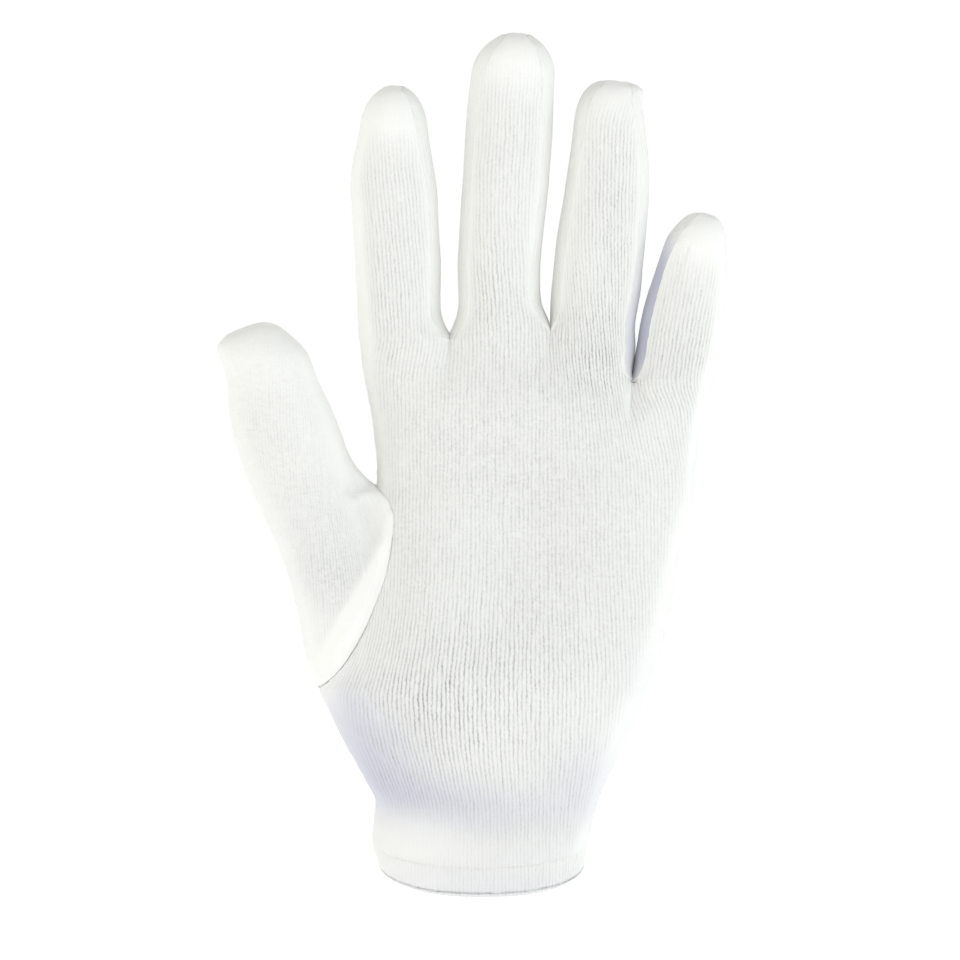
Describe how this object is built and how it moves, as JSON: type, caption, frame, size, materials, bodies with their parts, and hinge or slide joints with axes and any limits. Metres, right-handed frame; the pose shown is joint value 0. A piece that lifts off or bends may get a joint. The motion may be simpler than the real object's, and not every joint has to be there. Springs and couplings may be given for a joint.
{
  "type": "cotton work glove",
  "caption": "Knitted white cotton work glove for a left hand, filled out as worn, with a set-in thumb, strips between the fingers and a turned hem at the wrist.",
  "frame": {"origin": "middle of the wrist opening, where the wearer's hand goes in", "axes": "+Z from the wrist to the fingertips, the palm faces -Y, the thumb is on the -X side and the little finger on the +X side"},
  "size_m": [0.1353, 0.0396, 0.2283],
  "materials": {
    "knit": "matte",
    "hem": "matte"
  },
  "bodies": {
    "root": {"palm_panel": "knit", "back_panel": "knit", "thumb": "knit", "fourchette_index_middle": "knit", "fourchette_middle_ring": "knit", "fourchette_ring_little": "knit", "cuff_hem": "hem"}
  },
  "joints": []
}
